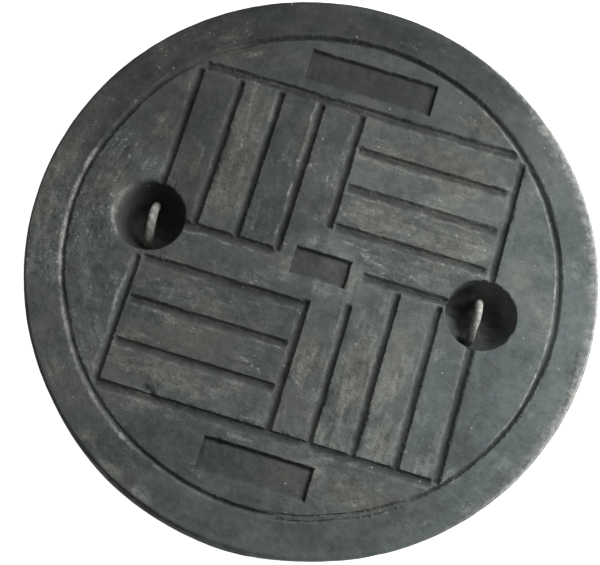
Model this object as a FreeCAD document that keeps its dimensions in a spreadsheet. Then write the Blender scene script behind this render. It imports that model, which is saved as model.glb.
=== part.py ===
"""Round concrete manhole cover with two cast-in lifting hooks, as a parametric document.

Millimetres. +Z is up, the tread face is the top, the origin is at the centre of the underside.
+X runs from the left pocket to the right pocket and +Y towards the wide panel.
"""

import FreeCAD
import Part
import Sketcher
import os

from FreeCAD import Placement, Rotation, Vector

# Driving dimensions: alias, value, what it is
SIZES = [
    ("cover_diameter", 600.0, "widest diameter, just under the rounded rim"),
    ("cover_thickness", 75.0, "underside to tread face"),
    ("side_draft", 14.0, "how much smaller the radius is at the underside"),
    ("rim_round", 6.0, "rounding of the upper rim"),
    ("foot_chamfer", 4.0, "chamfer round the underside"),
    ("border_width", 41.5, "rim to the middle of the ring groove"),
    ("ring_groove_width", 8.0, "ring groove, across"),
    ("ring_groove_floor", 3.0, "ring groove, across its floor"),
    ("ring_groove_depth", 4.5, "ring groove, down"),
    ("strip_groove_width", 10.0, "straight grooves, across"),
    ("strip_groove_floor", 4.0, "straight grooves, across their floors"),
    ("strip_groove_depth", 5.5, "straight grooves, down"),
    ("strip_gap", 2.0, "land left where one moulding strip stops short of another"),
    ("short_strip_stop", 33.0, "end of the one shortened strip, from the centre line"),
    ("pocket_diameter", 75.0, "lifting pocket, at its mouth"),
    ("pocket_depth", 42.0, "lifting pocket, tread face to floor"),
    ("pocket_bowl_radius", 30.0, "curve between the pocket's wall and floor"),
    ("pocket_draft_angle", 6.0, "lean of the pocket's wall, in degrees"),
    ("pocket_lip", 2.0, "bevel round the pocket's mouth"),
    ("flare_reach", 4.5, "how far the left pocket's mouth is flared outward"),
    ("flare_depth", 14.0, "how far down that flare goes"),
    ("flare_direction", 165.0, "where the flare is widest, in degrees from +X"),
    ("rod_diameter", 10.0, "lifting hook, bar"),
    ("hook_span", 44.0, "between the middles of a hook's legs"),
    ("hook_drop", 10.0, "tread face to the crown of a hook"),
    ("anchor_length", 136.0, "cross bar welded under a hook's legs, inside the concrete"),
    ("anchor_cover", 13.0, "concrete under the cross bar"),
    ("hook_offset", -1.5, "how far the hooks stand off their pockets' axes, along Y"),
    ("left_hook_turn", 6.0, "turn of the left hook, in degrees"),
    ("panel_depth", 4.0, "recessed panels, down"),
    ("panel_draft_angle", 25.0, "lean of the panels' walls, in degrees"),
    ("wide_panel_length", 140.0, "panel beyond the square on the +Y side, along X"),
    ("wide_panel_height", 36.0, "the same panel, along Y"),
    ("wide_panel_margin", 8.5, "from the edge groove to the wide panel"),
    ("narrow_panel_length", 114.0, "panel beyond the square on the -Y side, along X"),
    ("narrow_panel_height", 35.0, "the same panel, along Y"),
    ("narrow_panel_margin", 18.5, "from the edge groove to the narrow panel"),
    ("centre_panel_length", 60.0, "panel on the middle pad, along X"),
    ("centre_panel_height", 30.0, "the same panel, along Y"),
]

# Bars in each of the four blocks of the pinwheel
BARS = 4

# Places worked out from the sizes: alias, formula
LAYOUT = [
    ("cover_radius", "Sizes.cover_diameter / 2"),
    ("side_lean", "atan(Sizes.side_draft / Sizes.cover_thickness)"),
    ("rim_corner", "cover_radius + Sizes.rim_round * (tan(side_lean) + 1 / cos(side_lean) - 1)"),
    ("foot_radius", "rim_corner - Sizes.side_draft"),
    ("ring_radius", "cover_radius - Sizes.border_width"),
    ("square_half", "(ring_radius - Sizes.ring_groove_width / 2) / sqrt(2)"),
    ("bar_pitch", f"square_half / {BARS}"),
    ("butt_back", "Sizes.strip_groove_width / 2 + Sizes.strip_gap"),
    ("pocket_radius", "Sizes.pocket_diameter / 2"),
    ("pocket_lean", "Sizes.pocket_draft_angle * 1 deg"),
    ("bowl_top", "Sizes.pocket_depth - Sizes.pocket_bowl_radius * (1 - sin(pocket_lean))"),
    ("bowl_edge", "pocket_radius - (bowl_top - Sizes.pocket_lip) * tan(pocket_lean)"),
    ("floor_radius", "bowl_edge - Sizes.pocket_bowl_radius * cos(pocket_lean)"),
    ("lip_radius", "pocket_radius + Sizes.pocket_lip"),
    ("flare_heading", "Sizes.flare_direction * 1 deg"),
    ("arch_radius", "Sizes.hook_span / 2"),
    ("crown_level", "Sizes.cover_thickness - Sizes.hook_drop - Sizes.rod_diameter / 2"),
    ("arch_level", "crown_level - arch_radius"),
    ("anchor_level", "Sizes.anchor_cover + Sizes.rod_diameter / 2"),
    ("edge_groove_side", "square_half + Sizes.strip_groove_width / 2"),
    ("wide_panel_middle", "edge_groove_side + Sizes.wide_panel_margin + Sizes.wide_panel_height / 2"),
    ("narrow_panel_middle",
     "-edge_groove_side - Sizes.narrow_panel_margin - Sizes.narrow_panel_height / 2"),
]

TOP = "Sizes.cover_thickness"


def add_sheet(doc, name, rows):
    """A spreadsheet with a note, a cell and an alias on each row."""
    sheet = doc.addObject("Spreadsheet::Sheet", name)
    for number, (alias, content, note) in enumerate(rows, 1):
        sheet.set(f"A{number}", note)
        sheet.set(f"B{number}", content)
        sheet.setAlias(f"B{number}", alias)
    doc.recompute()


def axis_of(body, role):
    """One of a body's own origin axes or planes."""
    return next(feature for feature in body.Origin.OriginFeatures if feature.Role == role)


class Outline:
    """A sketch on one of its body's origin planes, with every point bound to formulas."""

    def __init__(self, body, name, plane):
        self.sketch = body.newObject("Sketcher::SketchObject", name)
        self.sketch.AttachmentSupport = (axis_of(body, plane), [""])
        self.sketch.MapMode = "FlatFace"

    def shift(self, axis, formula):
        """Move the sketch along one of its own axes."""
        self.sketch.setExpression(f"AttachmentOffset.Base.{axis}", formula)
        return self

    def read(self, formula):
        """The value of a formula, in millimetres."""
        value = self.sketch.evalExpression(formula)
        return float(getattr(value, "Value", value))

    def vector(self, point):
        """A pair of formulas as a point of the sketch."""
        return Vector(self.read(point[0]), self.read(point[1]), 0)

    def pin(self, geometry, end, point):
        """Hold one end of a side to a pair of formulas, measured from the sketch's origin."""
        for kind, axis, formula in (("DistanceX", -2, point[0]), ("DistanceY", -1, point[1])):
            if formula == "0":
                self.sketch.addConstraint(Sketcher.Constraint("PointOnObject", geometry, end, axis))
                continue
            held = Sketcher.Constraint(kind, -1, 1, geometry, end, self.read(formula))
            number = self.sketch.addConstraint(held)
            self.sketch.setExpression(f"Constraints[{number}]", formula)

    def side(self, start, end):
        """A straight side between two points."""
        line = Part.LineSegment(self.vector(start), self.vector(end))
        number = self.sketch.addGeometry(line, False)
        self.pin(number, 1, start)
        self.pin(number, 2, end)
        return number

    def arc(self, start, through, end, centre_level):
        """A round side between two points, by way of a third, about a centre at a given height."""
        curve = Part.Arc(self.vector(start), self.vector(through), self.vector(end))
        number = self.sketch.addGeometry(curve, False)
        begins_at_start = self.sketch.getPoint(number, 1).distanceToPoint(self.vector(start)) < 1e-6
        self.pin(number, 1, start if begins_at_start else end)
        self.pin(number, 2, end if begins_at_start else start)
        held = Sketcher.Constraint("DistanceY", -1, 1, number, 3, self.read(centre_level))
        self.sketch.setExpression(f"Constraints[{self.sketch.addConstraint(held)}]", centre_level)

    def polygon(self, points):
        """A closed outline of straight sides."""
        for start, end in zip(points, points[1:] + points[:1]):
            self.side(start, end)
        return self

    def circle(self, middle, radius):
        """A full circle."""
        ring = Part.Circle(self.vector(middle), Vector(0, 0, 1), self.read(radius))
        number = self.sketch.addGeometry(ring, False)
        self.pin(number, 3, middle)
        held = Sketcher.Constraint("Radius", number, self.read(radius))
        self.sketch.setExpression(f"Constraints[{self.sketch.addConstraint(held)}]", radius)
        return self

    def groove_section(self, middle, groove):
        """The section of one of the two kinds of groove: open at the tread face, with leaning walls."""
        reach = f"Sizes.{groove}_groove_width / 2"
        floor = f"Sizes.{groove}_groove_floor / 2"
        bottom = f"{TOP} - Sizes.{groove}_groove_depth"
        return self.polygon([(f"{middle} - {reach}", TOP), (f"{middle} - {floor}", bottom),
                             (f"{middle} + {floor}", bottom), (f"{middle} + {reach}", TOP)])


def cut(body, kind, name, outline, **settings):
    """A feature that removes material, checked to have removed some."""
    before = body.Tip.Shape.Volume
    feature = body.newObject(f"PartDesign::{kind}", name)
    if outline is not None:
        feature.Profile = outline.sketch
    for key, value in settings.items():
        setattr(feature, key, value)
    body.Tip = feature
    body.Document.recompute()
    if feature.Shape.Volume > before - 1.0:
        raise RuntimeError(f"{name} removed nothing")
    return feature


def turn_cut(body, name, outline):
    """A cut turned round its outline's own upright axis."""
    return cut(body, "Groove", name, outline, ReferenceAxis=(outline.sketch, ["V_Axis"]), Angle=360)


def half_turn(body, name, features):
    """Repeat cuts on the opposite side of the cover."""
    return cut(body, "PolarPattern", name, None, Originals=features, Angle=360, Occurrences=2,
               Axis=(axis_of(body, "Z_Axis"), [""]))


def strip_along_y(body, name, columns, start, end):
    """Grooves of moulding strips that run along Y, one for each column of the layout."""
    outline = Outline(body, f"{name}_section", "XZ_Plane").shift("z", f"-({start})")
    for column in columns:
        outline.groove_section(column, "strip")
    groove = cut(body, "Pocket", name, outline, Length=outline.read(f"{end} - ({start})"))
    groove.setExpression("Length", f"{end} - ({start})")
    return groove


def strip_along_x(body, name, rows, start, end):
    """Grooves of moulding strips that run along X, one for each row of the layout."""
    outline = Outline(body, f"{name}_section", "YZ_Plane").shift("z", end)
    for row in rows:
        outline.groove_section(row, "strip")
    groove = cut(body, "Pocket", name, outline, Length=outline.read(f"{end} - ({start})"))
    groove.setExpression("Length", f"{end} - ({start})")
    return groove


def pitches(count):
    """A distance of some bar pitches, as a formula."""
    return f"{count} * Layout.bar_pitch"


def add_slab(body):
    """The plain disc, with its draft, rounded rim and chamfered foot."""
    outline = Outline(body, "slab_section", "XZ_Plane")
    outline.polygon([("0", "0"), ("Layout.foot_radius", "0"), ("Layout.rim_corner", TOP), ("0", TOP)])
    slab = body.newObject("PartDesign::Revolution", "slab")
    slab.Profile = outline.sketch
    slab.ReferenceAxis = (outline.sketch, ["V_Axis"])
    slab.Angle = 360
    body.Document.recompute()
    add_edge_feature(body, "Fillet", "rim_rounding", "Radius", "Sizes.rim_round", highest=True)
    add_edge_feature(body, "Chamfer", "foot_bevel", "Size", "Sizes.foot_chamfer", highest=False)


def add_edge_feature(body, kind, name, size, formula, highest):
    """Round or bevel the top or bottom circle of the disc."""
    base = body.Tip
    circles = [(edge.CenterOfMass.z, number) for number, edge in enumerate(base.Shape.Edges, 1)
               if isinstance(edge.Curve, Part.Circle) and edge.isClosed()]
    level = max(circles) if highest else min(circles)
    feature = body.newObject(f"PartDesign::{kind}", name)
    feature.Base = (base, [f"Edge{level[1]}"])
    feature.setExpression(size, formula)
    body.Document.recompute()


def add_ring_groove(body):
    """The groove between the border and the patterned field."""
    outline = Outline(body, "ring_section", "XZ_Plane")
    outline.groove_section("Layout.ring_radius", "ring")
    turn_cut(body, "ring_groove", outline)


def add_pinwheel(body):
    """Four blocks of bars, parted by the grooves that straight moulding strips leave."""
    side = "Layout.square_half"
    butt = f"{side} - Layout.butt_back"
    inner = pitches(1)
    across = [pitches(count) for count in range(1, BARS)]
    halves = [
        strip_along_x(body, "edge_strip", [side], f"-{side}", side),
        strip_along_y(body, "side_strip", [f"-{side}"], f"-({butt})", butt),
        strip_along_y(body, "upright_strips", [f"-{count}" for count in across[1:]],
                      "Layout.butt_back", butt),
        strip_along_x(body, "level_strips", across, "Layout.butt_back", butt),
        strip_along_y(body, "upper_spoke", ["0"], inner, butt),
        strip_along_x(body, "left_spoke", ["0"], f"-({butt})", f"-{inner}"),
    ]
    half_turn(body, "pinwheel", halves)
    strip_along_y(body, "inner_strip", [f"-{inner}"], "Layout.butt_back", butt)
    strip_along_y(body, "short_strip", [inner], f"-({butt})", "-Sizes.short_strip_stop")


def add_pocket_former(doc, label, across):
    """The cup that leaves a lifting pocket in the concrete, with its flanged mouth."""
    body = doc.addObject("PartDesign::Body", label)
    throat = "Layout.pocket_radius"
    lip = "Layout.lip_radius"
    under_lip = f"{TOP} - Sizes.pocket_lip"
    bowl = "Sizes.pocket_bowl_radius"
    bowl_top = f"{TOP} - Layout.bowl_top"
    floor = f"{TOP} - Sizes.pocket_depth"
    bowl_middle = (f"Layout.floor_radius + {bowl} * sin(45 deg)", f"{floor} + {bowl} * (1 - cos(45 deg))")
    outline = Outline(body, f"{label}_section", "XZ_Plane")
    outline.side(("0", floor), ("0", TOP))
    outline.side(("0", TOP), (lip, TOP))
    outline.side((lip, TOP), (throat, under_lip))
    outline.side((throat, under_lip), ("Layout.bowl_edge", bowl_top))
    outline.arc(("Layout.bowl_edge", bowl_top), bowl_middle, ("Layout.floor_radius", floor),
                f"{floor} + {bowl}")
    outline.side(("Layout.floor_radius", floor), ("0", floor))
    cup = body.newObject("PartDesign::Revolution", f"{label}_cup")
    cup.Profile = outline.sketch
    cup.ReferenceAxis = (outline.sketch, ["V_Axis"])
    cup.Angle = 360
    body.setExpression("Placement.Base.x", across)
    doc.recompute()
    return body


def add_flare(doc):
    """The slanting mouth on the outer side of the left pocket."""
    flare = doc.addObject("Part::Cone", "left_flare")
    flare.setExpression("Radius1", "Layout.lip_radius - Sizes.flare_depth")
    flare.setExpression("Radius2", "Layout.lip_radius")
    flare.setExpression("Height", "Sizes.flare_depth")
    flare.setExpression("Placement.Base.x",
                        "-Layout.square_half + Sizes.flare_reach * cos(Layout.flare_heading)")
    flare.setExpression("Placement.Base.y", "Sizes.flare_reach * sin(Layout.flare_heading)")
    flare.setExpression("Placement.Base.z", f"{TOP} - Sizes.flare_depth")
    doc.recompute()
    return flare


def add_panel(body, name, length, height, middle):
    """A shallow rectangular panel with leaning walls."""
    left = f"-{length} / 2"
    right = f"{length} / 2"
    low = f"{middle} - {height} / 2"
    high = f"{middle} + {height} / 2"
    outline = Outline(body, f"{name}_outline", "XY_Plane").shift("z", TOP)
    outline.polygon([(left, low), (right, low), (right, high), (left, high)])
    panel = cut(body, "Pocket", name, outline, Length=outline.read("Sizes.panel_depth"))
    panel.setExpression("Length", "Sizes.panel_depth")
    panel.setExpression("TaperAngle", "-Sizes.panel_draft_angle * 1 deg")


def add_casting(doc):
    """The concrete with its moulded tread face, before the pockets and hooks take their place."""
    body = doc.addObject("PartDesign::Body", "casting")
    add_slab(body)
    add_ring_groove(body)
    add_pinwheel(body)
    add_panel(body, "wide_panel", "Sizes.wide_panel_length", "Sizes.wide_panel_height",
              "Layout.wide_panel_middle")
    add_panel(body, "narrow_panel", "Sizes.narrow_panel_length", "Sizes.narrow_panel_height",
              "Layout.narrow_panel_middle")
    add_panel(body, "centre_panel", "Sizes.centre_panel_length", "Sizes.centre_panel_height", "0")
    return body


def add_hook(doc, label, across, turn):
    """A bent bar in its pocket: an arch on two legs, welded to a cross bar in the concrete."""
    body = doc.addObject("PartDesign::Body", label)
    body.Label = label
    arch = "Layout.arch_radius"
    path = Outline(body, f"{label}_path", "YZ_Plane")
    for leg in (f"-{arch}", arch):
        path.side((leg, "Layout.anchor_level"), (leg, "Layout.arch_level"))
    path.arc((f"-{arch}", "Layout.arch_level"), ("0", "Layout.crown_level"), (arch, "Layout.arch_level"),
             "Layout.arch_level")
    section = Outline(body, f"{label}_section", "XY_Plane").shift("z", "Layout.anchor_level")
    section.circle(("0", f"-{arch}"), "Sizes.rod_diameter / 2")
    doc.recompute()
    bar = body.newObject("PartDesign::AdditivePipe", f"{label}_bar")
    bar.Profile = section.sketch
    bar.Spine = path.sketch
    end = Outline(body, f"{label}_anchor_section", "XZ_Plane").shift("z", "-Sizes.anchor_length / 2")
    end.circle(("0", "Layout.anchor_level"), "Sizes.rod_diameter / 2")
    anchor = body.newObject("PartDesign::Pad", f"{label}_anchor")
    anchor.Profile = end.sketch
    anchor.setExpression("Length", "Sizes.anchor_length")
    body.Placement = Placement(Vector(), Rotation(Vector(0, 0, 1), 1))
    body.setExpression("Placement.Base.x", across)
    body.setExpression("Placement.Base.y", "Sizes.hook_offset")
    body.setExpression("Placement.Rotation.Angle", turn)
    doc.recompute()
    return body


def check(doc, parts):
    """Stop if any object failed, or if a part isn't one valid solid."""
    for item in doc.Objects:
        if "Invalid" in item.State or "Error" in item.State:
            raise RuntimeError(f"{item.Label} failed: {item.State}")
    for part in parts:
        if part.Shape.isNull() or not part.Shape.isValid() or len(part.Shape.Solids) != 1:
            raise RuntimeError(f"{part.Label} is not one valid solid")


def main():
    doc = FreeCAD.newDocument("manhole_cover")
    add_sheet(doc, "Sizes", [(alias, str(value), note) for alias, value, note in SIZES])
    add_sheet(doc, "Layout", [(alias, f"={formula}", "worked out") for alias, formula in LAYOUT])
    casting = add_casting(doc)
    hooks = [
        add_hook(doc, "lifting_hook_left", "-Layout.square_half", "Sizes.left_hook_turn * 1 deg"),
        add_hook(doc, "lifting_hook_right", "Layout.square_half", "0 deg"),
    ]
    formers = [
        add_pocket_former(doc, "left_pocket_former", "-Layout.square_half"),
        add_pocket_former(doc, "right_pocket_former", "Layout.square_half"),
        add_flare(doc),
    ]
    inserts = doc.addObject("Part::MultiFuse", "inserts")
    inserts.Shapes = formers + hooks
    cover = doc.addObject("Part::Cut", "concrete_cover")
    cover.Label = "concrete_cover"
    cover.Base = casting
    cover.Tool = inserts
    doc.recompute()
    parts = [cover] + hooks
    check(doc, parts)
    os.makedirs("parts", exist_ok=True)
    for part in parts:
        part.Shape.exportStep(os.path.join("parts", f"{part.Label}.step"))
        print(part.Label, round(part.Shape.Volume / 1e6, 4), "litres", len(part.Shape.Faces), "faces")


main()
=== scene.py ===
"""Looks of a round concrete manhole cover with two cast-in lifting hooks.

The shape code works in millimetres: the origin is under the middle of the cover, +Z is up, +X runs
from the left pocket to the right one. Blender's objects are in metres.
"""

import math

import bpy
import numpy as np
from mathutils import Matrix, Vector
from mathutils.geometry import delaunay_2d_cdt


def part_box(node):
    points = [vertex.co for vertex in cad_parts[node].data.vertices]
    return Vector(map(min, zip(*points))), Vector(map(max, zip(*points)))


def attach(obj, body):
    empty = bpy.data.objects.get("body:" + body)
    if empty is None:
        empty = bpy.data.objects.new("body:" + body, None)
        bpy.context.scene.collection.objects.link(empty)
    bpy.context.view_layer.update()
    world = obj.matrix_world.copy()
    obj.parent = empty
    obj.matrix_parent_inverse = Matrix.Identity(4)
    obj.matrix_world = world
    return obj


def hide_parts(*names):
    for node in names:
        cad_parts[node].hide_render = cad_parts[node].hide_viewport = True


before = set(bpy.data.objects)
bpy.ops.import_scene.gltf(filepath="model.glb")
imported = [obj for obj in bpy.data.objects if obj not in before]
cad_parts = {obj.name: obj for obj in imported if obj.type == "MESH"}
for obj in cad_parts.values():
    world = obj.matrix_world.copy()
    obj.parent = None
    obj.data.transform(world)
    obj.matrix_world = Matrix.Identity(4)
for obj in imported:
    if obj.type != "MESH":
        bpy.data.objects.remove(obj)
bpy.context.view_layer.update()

bl_info = {
    "name": "Concrete manhole cover",
    "version": (1, 0, 0),
    "blender": (4, 5, 0),
    "location": "View3D > Sidebar > Cover",
    "description": "Casts a worn concrete cover, bends its lifting hooks and lights them",
    "category": "Object",
}

MM = 0.001
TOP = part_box("concrete_cover")[1][2] / MM

# Half of the square groove pattern, one bar with its groove, the middle of the border and the rim
SQUARE = 180.0
BAR = 45.0
BORDER_RADIUS = 270.0
RIM_RADIUS = 300.0

# How far across a straight groove, and past its ends, its own shape can reach
STRIP_REACH = 16.0
STRIP_RUN_ON = 12.0

# Rows of points across the grooves, round a pocket's mouth, inside a panel's edge and on the underside
STRIP_ROWS = (-8.2, -6.7, -5.4, -4.2, -3.0, -1.9, -0.7, 0.5, 1.4, 2.1, 2.9, 3.7, 5.2)
RING_ROWS = (-6.2, -4.9, -3.9, -3.0, -2.1, -1.2, -0.2, 0.8, 1.7, 2.6, 3.5, 4.4, 5.6)
MOUTH_ROWS = (1.1, 2.3, 4.0, 6.0, 8.0, 10.0)
PANEL_ROWS = (-1.0, 0.2, 1.2, 2.4)
UNDERSIDE_ROWS = (268.0, 246.0, 214.0, 172.0, 122.0, 70.0, 28.0)

# Points round the rim, round a pocket's mouth, along the ring groove and round a bar
EDGE_COUNT = 640
MOUTH_COUNT = 132
RING_COUNT = 600
BAR_SIDES = 24

# Headings, in radians: where the cement is coolest and the painted light is brightest, where the rim is most
# worn and lit, where the left pocket's mouth slants most and the side of it that is painted lit, with painted
# shade on the rest of the slant
COOL_AND_LIT_HEADING = -0.35
WORN_AND_LIT_HEADING = 0.35
FLARE_HEADING = math.radians(174.0)
LIT_FLARE_HEADING = math.radians(182.0)

# How much fuller the side is along the low edge, and how far the left pocket's wall leans in
SIDE_SWELL = 4.2
WALL_LEDGE = 6.0

# Lean of a pocket's wall, and the sharpest edge that is still shaded smooth
WALL_LEAN = math.radians(6.0)
SMOOTH_ANGLE = math.radians(38.0)

# Moulding strips: the way each one runs, its place across, its two ends, dust on the worn side, which faces
# the light, so partly painted highlight
STRIPS = (
    ("y", -180.6, 0.0, 171.0, 0.10),
    ("y", -180.6, -184.0, -47.0, 0.95),
    ("y", -134.9, 1.0, 170.0, 0.15),
    ("y", -90.1, 1.0, 170.0, 0.10),
    ("y", -45.2, 0.0, 171.0, 0.55),
    ("y", 0.3, 40.0, 171.0, 0.15),
    ("y", 0.3, -183.0, -41.0, 0.10),
    ("y", 44.0, -183.0, -33.5, 0.50),
    ("y", 89.0, -184.0, -6.0, 0.10),
    ("y", 133.9, -184.0, -7.0, 0.20),
    ("y", 179.6, 0.0, 171.0, 0.20),
    ("y", 176.9, -184.0, 0.0, 0.25),
    ("x", 178.8, -178.6, 170.8, 0.20),
    ("x", 134.2, 4.0, 170.5, 0.30),
    ("x", 90.4, 4.0, 170.5, 0.35),
    ("x", 45.2, 4.0, 170.5, 0.40),
    ("x", 1.0, -175.0, -47.0, 0.45),
    ("x", 1.3, 47.5, 175.0, 0.35),
    ("x", -45.7, -176.0, 2.0, 0.25),
    ("x", -90.7, -176.0, -5.5, 0.30),
    ("x", -136.4, -176.0, -5.5, 0.35),
    ("x", -182.4, -182.0, 172.0, 0.30),
)

# Recessed panels: lowest and highest corner, dirt on the floor
PANELS = (
    ((-73.0, 193.5), (68.0, 229.3), 0.68),
    ((-59.0, -238.5), (55.2, -203.7), 0.50),
    ((-27.0, -18.5), (33.0, 12.0), 0.74),
)

# Where the ring groove strays from its circle: heading, reach and how far outward
RING_DRIFT = (
    (30.0, 16.0, 0.7),
    (95.0, 16.0, -0.9),
    (160.0, 9.0, -1.5),
    (184.0, 16.0, 0.9),
    (253.0, 14.0, -0.9),
    (293.0, 10.0, -1.0),
)

# Bright strokes rubbed on the rim: first and last heading, radius, half width, strength. They lie on the side
# that faces the light and are partly painted highlight.
RIM_STROKES = (
    (61.0, 66.0, 297.4, 1.8, 1.2),
    (54.4, 60.2, 296.2, 2.0, 1.5),
    (49.6, 53.4, 294.0, 5.5, 0.9),
    (40.0, 43.0, 292.0, 4.0, 0.6),
    (24.0, 34.0, 296.5, 3.2, 0.9),
    (8.0, 18.0, 296.0, 3.6, 0.9),
    (-14.0, 2.0, 297.0, 3.0, 0.9),
    (-40.0, -24.0, 298.0, 1.8, 0.7),
)

# Pale scratches: both ends, half width and strength
SCRATCHES = (
    (-44.5, -115.1, -20.5, -123.8, 1.2, 1.2),
    (22.0, 33.0, 48.0, 31.0, 1.2, 0.9),
    (40.0, 27.0, 58.0, 22.0, 1.2, 1.0),
    (50.0, 22.0, 66.0, 20.0, 1.2, 0.9),
)

# Blow holes and lost pebbles: place, radius, depth
PITS = (
    (-126.0, -174.2, 5.0, 3.2),
    (-119.0, -176.5, 3.0, 2.4),
    (-41.1, -202.9, 4.0, 2.2),
    (52.0, 78.0, 2.2, 1.6),
    (57.0, 74.0, 1.8, 1.4),
    (22.0, -95.0, 3.0, 1.0),
)

# Tone of each bar of the four blocks, from the left or from the top, against the tone of the border; besides
# each bar's own tone it carries painted light, darker at the upper left and brighter at the lower right
BAR_TONES = {
    "upper left": (0.72, 1.00, 0.80, 0.85),
    "upper right": (1.10, 1.27, 1.17, 1.17),
    "lower left": (0.96, 0.96, 1.00, 1.15),
    "lower right": (1.08, 1.30, 1.43, 1.38),
}

# Where the outer edge of the border differs in tone: the headings where it starts, is full, fades and
# ends, and the change
EDGE_TONES = (
    (252.0, 266.0, 334.0, 346.0, 0.17),
    (232.0, 240.0, 248.0, 258.0, 0.34),
    (70.0, 80.0, 100.0, 108.0, 0.20),
    (108.0, 114.0, 128.0, 138.0, -0.12),
    (-20.0, -8.0, 64.0, 74.0, 0.12),
)

# Stains and scuffs: place, reach along x and y, change of tone, change of warmth, rubbed rough
STAINS = (
    (-112.0, 105.0, 20.0, 75.0, 0.08, 0.30, 0.3),
    (-66.0, 60.0, 22.0, 60.0, -0.06, -0.55, 0.0),
    (-22.0, 115.0, 20.0, 50.0, 0.00, -0.25, 0.0),
    (-40.0, 130.0, 14.0, 45.0, 0.10, 0.10, 0.7),
    (95.0, 65.0, 75.0, 40.0, 0.06, 0.20, 0.3),
    (150.0, 62.0, 22.0, 14.0, 0.25, 0.20, 1.0),
    (40.0, 60.0, 30.0, 16.0, 0.05, 0.10, 0.8),
    (-124.0, -155.0, 42.0, 13.0, 0.36, 0.25, 1.0),
    (-95.0, -20.0, 70.0, 16.0, -0.06, -0.45, 0.0),
    (-120.0, -66.0, 30.0, 14.0, 0.08, -0.10, 0.9),
    (25.0, -100.0, 14.0, 26.0, 0.08, 0.20, 0.8),
    (70.0, -95.0, 16.0, 55.0, 0.10, 0.35, 0.8),
    (112.0, -150.0, 16.0, 22.0, 0.14, 0.20, 1.0),
    (112.0, -70.0, 16.0, 50.0, 0.06, 0.20, 0.2),
    (158.0, -110.0, 16.0, 65.0, -0.02, -0.55, 0.0),
    (165.0, -165.0, 12.0, 10.0, 0.12, 0.10, 0.9),
    (75.0, -182.0, 40.0, 8.0, 0.20, 0.20, 0.9),
    (20.0, 20.0, 40.0, 14.0, 0.00, -0.06, 0.1),
    (110.0, 20.0, 40.0, 14.0, 0.06, -0.10, 0.7),
    (212.0, 48.0, 26.0, 34.0, 0.02, 0.35, 0.0),
    (240.0, 10.0, 20.0, 40.0, 0.02, 0.35, 0.1),
    (-235.0, -20.0, 28.0, 70.0, 0.19, 0.05, 0.9),
    (-285.0, -30.0, 16.0, 90.0, 0.32, 0.05, 0.9),
    (-232.0, 60.0, 26.0, 30.0, 0.06, 0.00, 0.8),
    (-150.0, 215.0, 60.0, 30.0, -0.04, 0.30, 0.3),
    (60.0, -215.0, 60.0, 24.0, 0.12, 0.40, 0.4),
    (3.0, 3.0, 46.0, 46.0, 0.54, 0.08, 0.35),
    (-190.0, 110.0, 30.0, 50.0, -0.14, 0.05, 0.1),
    (200.0, -110.0, 26.0, 50.0, -0.12, -0.10, 0.0),
    (110.0, -205.0, 40.0, 22.0, 0.10, 0.35, 0.3),
    (-200.0, -120.0, 26.0, 50.0, 0.08, -0.10, 0.4),
    (0.0, 274.0, 70.0, 14.0, -0.14, 0.00, 0.0),
    (-168.0, -241.0, 15.0, 10.0, 0.30, 0.45, 0.6),
    (-138.0, -259.0, 20.0, 9.0, 0.42, 0.50, 0.8),
    (-94.0, -278.0, 14.0, 8.0, 0.32, 0.30, 0.8),
    (-114.0, -268.0, 10.0, 8.0, -0.22, 0.30, 0.0),
    (181.0, 234.0, 14.0, 16.0, 0.24, 0.20, 0.6),
    (-112.0, 90.0, 18.0, 80.0, 0.02, 0.00, 0.35),
    (100.0, -232.0, 50.0, 14.0, 0.10, 0.10, 0.2),
    (62.0, 22.0, 18.0, 16.0, 0.06, 0.00, 1.0),
    (68.0, -128.0, 16.0, 26.0, 0.08, 0.15, 0.6),
    (-262.0, -80.0, 16.0, 28.0, 0.26, 0.00, 0.7),
    (-212.0, -72.0, 20.0, 26.0, 0.14, -0.05, 0.3),
    (40.0, -184.0, 180.0, 34.0, 0.15, 0.05, 0.2),
    (-120.0, -190.0, 60.0, 9.0, 0.12, 0.10, 0.3),
    (90.0, 57.0, 80.0, 9.0, 0.08, 0.00, 0.2),
    (135.0, -212.0, 50.0, 20.0, 0.00, 0.45, 0.1),
    (68.0, -168.0, 14.0, 12.0, 0.10, 0.15, 0.9),
    (112.0, -170.0, 14.0, 10.0, 0.10, 0.15, 1.0),
    (0.0, 212.0, 70.0, 22.0, -0.09, 0.00, 0.0),
    (195.0, 115.0, 26.0, 40.0, -0.06, 0.00, 0.0),
    (0.0, 214.0, 60.0, 20.0, -0.08, 0.00, 0.0),
    (110.0, -225.0, 46.0, 16.0, -0.06, 0.00, 0.0),
    (-193.0, 47.0, 17.0, 16.0, 0.36, -0.15, 0.5),
    (-21.0, -191.0, 17.0, 6.0, 0.26, 0.25, 0.9),
    (-50.6, -238.8, 12.0, 7.0, 0.22, 0.30, 0.8),
    (28.0, -80.0, 5.0, 7.0, -0.28, 0.00, 0.0),
    (95.0, 145.0, 75.0, 34.0, 0.00, 0.24, 0.1),
    (128.0, 205.0, 40.0, 20.0, 0.00, 0.35, 0.4),
)


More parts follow.
